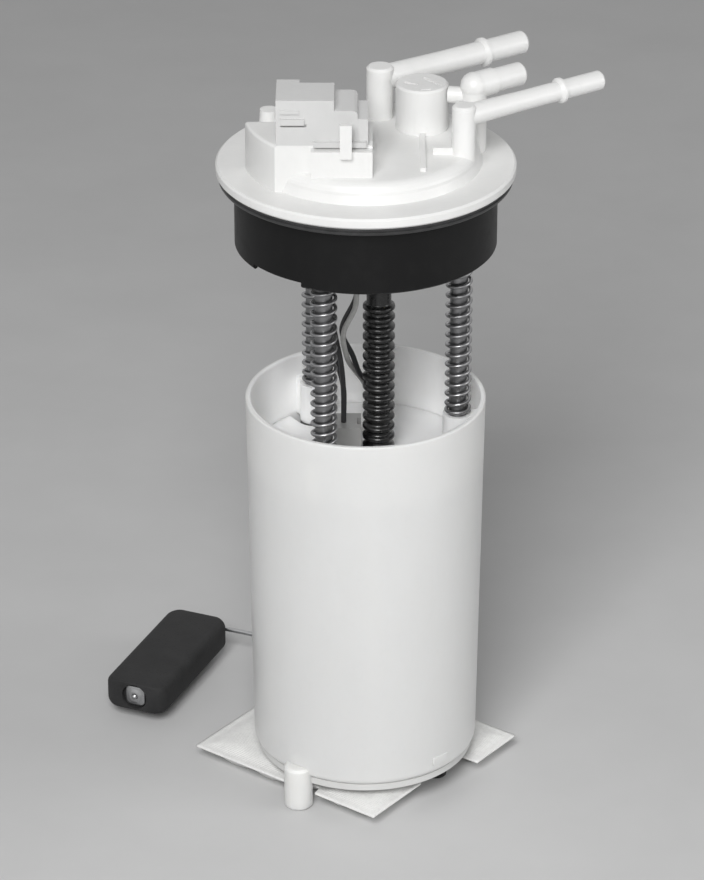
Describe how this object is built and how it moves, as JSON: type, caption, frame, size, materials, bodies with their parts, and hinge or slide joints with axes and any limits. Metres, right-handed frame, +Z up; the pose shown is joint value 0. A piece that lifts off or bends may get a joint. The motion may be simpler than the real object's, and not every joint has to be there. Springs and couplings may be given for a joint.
{
  "type": "fuel pump module",
  "caption": "Fuel pump module: round cover with pipe nipples and a plug socket over sprung guide rods, a tall reservoir holding an electric pump, and a float level sender.",
  "frame": {"origin": "centre of the seal's underside, the face that sits on the tank", "axes": "+Z up, away from the tank; +X to the right and +Y away from the viewer in the picture"},
  "size_m": [0.2085, 0.1572, 0.3168],
  "materials": {
    "white_acetal": "moulded white plastic with a soft sheen",
    "milky_acetal": "milky, slightly translucent moulded plastic",
    "grey_plastic": "moulded pale grey plastic",
    "connector_grey": "pale grey moulded plastic, fairly glossy",
    "black_plastic": "black moulded plastic, low gloss",
    "seal_rubber": "smooth black fuel-proof rubber",
    "black_hose": "black ribbed plastic hose",
    "rod_steel": "drawn bright steel",
    "spring_steel": "drawn spring steel wire",
    "can_steel": "plated steel sheet",
    "tinned_brass": "tinned contact metal",
    "blue_plastic": "moulded plastic",
    "brown_plastic": "filled moulded plastic",
    "ferrite": "sintered magnet",
    "carbon": "pressed carbon",
    "copper_winding": "lacquered copper",
    "ceramic": "white ceramic with printed tracks",
    "woven_mesh": "fine woven plastic filter cloth",
    "float_foam": "closed-cell black foam rubber",
    "dark_lead": "dark insulated wire",
    "light_lead": "light insulated wire"
  },
  "bodies": {
    "reservoir": {"reservoir_cup": "milky_acetal", "base_cap": "grey_plastic", "pump_retainer": "milky_acetal", "supply_hose": "black_hose", "cover_spring_right": "spring_steel", "cover_spring_rear": "spring_steel", "cover_spring_front": "spring_steel", "lead_connector": "connector_grey", "lead_grommet": "seal_rubber", "pump_lead_live": "dark_lead", "pump_lead_earth": "dark_lead", "sender_lead_signal": "light_lead", "sender_lead_earth": "dark_lead", "pump_jumper_live": "dark_lead", "pump_jumper_earth": "dark_lead", "sender_tail_signal": "light_lead", "sender_tail_earth": "dark_lead", "pump_can": "can_steel", "pump_inlet_cap": "black_plastic", "pump_chamber_plate": "black_plastic", "pump_outlet_cap": "black_plastic", "pump_terminals": "tinned_brass", "isolator_lower": "seal_rubber", "isolator_upper": "seal_rubber", "motor_magnets": "ferrite", "motor_brushes": "carbon", "check_spring": "spring_steel", "strainer_sock": "woven_mesh", "strainer_frame": "white_acetal", "strainer_grommet": "seal_rubber", "fill_valve_cage": "black_plastic", "fill_valve_disc": "seal_rubber", "sender_housing": "black_plastic", "sender_card": "ceramic"},
    "cover": {"cover_moulding": "white_acetal", "cover_skirt": "black_plastic", "tank_seal": "seal_rubber", "connector_shell": "connector_grey", "connector_blades": "tinned_brass", "vent_valve_housing": "white_acetal", "vent_valve_cage": "grey_plastic", "vent_valve_spring": "spring_steel", "guide_rod_right": "rod_steel", "guide_rod_rear": "rod_steel", "guide_rod_front": "rod_steel", "rod_clip_right": "spring_steel", "rod_clip_rear": "spring_steel", "rod_clip_front": "spring_steel"},
    "vent_float": {"vent_valve_float": "blue_plastic"},
    "pump_rotor": {"pump_impeller": "brown_plastic", "motor_armature": "copper_winding", "motor_commutator": "copper_winding", "rotor_shaft": "rod_steel"},
    "outlet_ball": {"check_ball": "blue_plastic"},
    "sender_arm": {"sender_wiper": "white_acetal", "float_arm": "rod_steel", "push_nut": "rod_steel"},
    "float_block": {"float": "float_foam"}
  },
  "joints": [
    {"name": "cover_slide", "type": "slide", "parent": "reservoir", "child": "cover", "axis": [0, 0, -1], "range_m": [0, 0.035], "stiffness_N_per_m": 700, "springref_m": -0.025, "deforming": ["cover_spring_right", "cover_spring_rear", "cover_spring_front", "supply_hose", "pump_lead_live", "pump_lead_earth", "sender_lead_signal", "sender_lead_earth"]},
    {"name": "vent_float_lift", "type": "slide", "parent": "cover", "child": "vent_float", "axis": [0, 0, 1], "range_m": [0, 0.003], "deforming": ["vent_valve_spring"]},
    {"name": "pump_rotor_spin", "type": "hinge", "parent": "reservoir", "child": "pump_rotor", "pos_m": [-0.004, 0.002, -0.2], "axis": [0, 0, 1], "continuous": true},
    {"name": "outlet_ball_lift", "type": "slide", "parent": "reservoir", "child": "outlet_ball", "axis": [0, 0, 1], "range_m": [0, 0.0015], "stiffness_N_per_m": 50, "springref_m": -0.002, "deforming": ["check_spring"]},
    {"name": "float_arm_swing", "type": "hinge", "parent": "reservoir", "child": "sender_arm", "pos_m": [0.02105, 0.05081, -0.215], "axis": [0.3827, 0.9239, 0], "range_deg": [0, 70]},
    {"name": "float_turn", "type": "hinge", "parent": "sender_arm", "child": "float_block", "pos_m": [-0.08852, 0.05831, -0.2578], "axis": [0.3827, 0.9239, 0], "continuous": true}
  ]
}
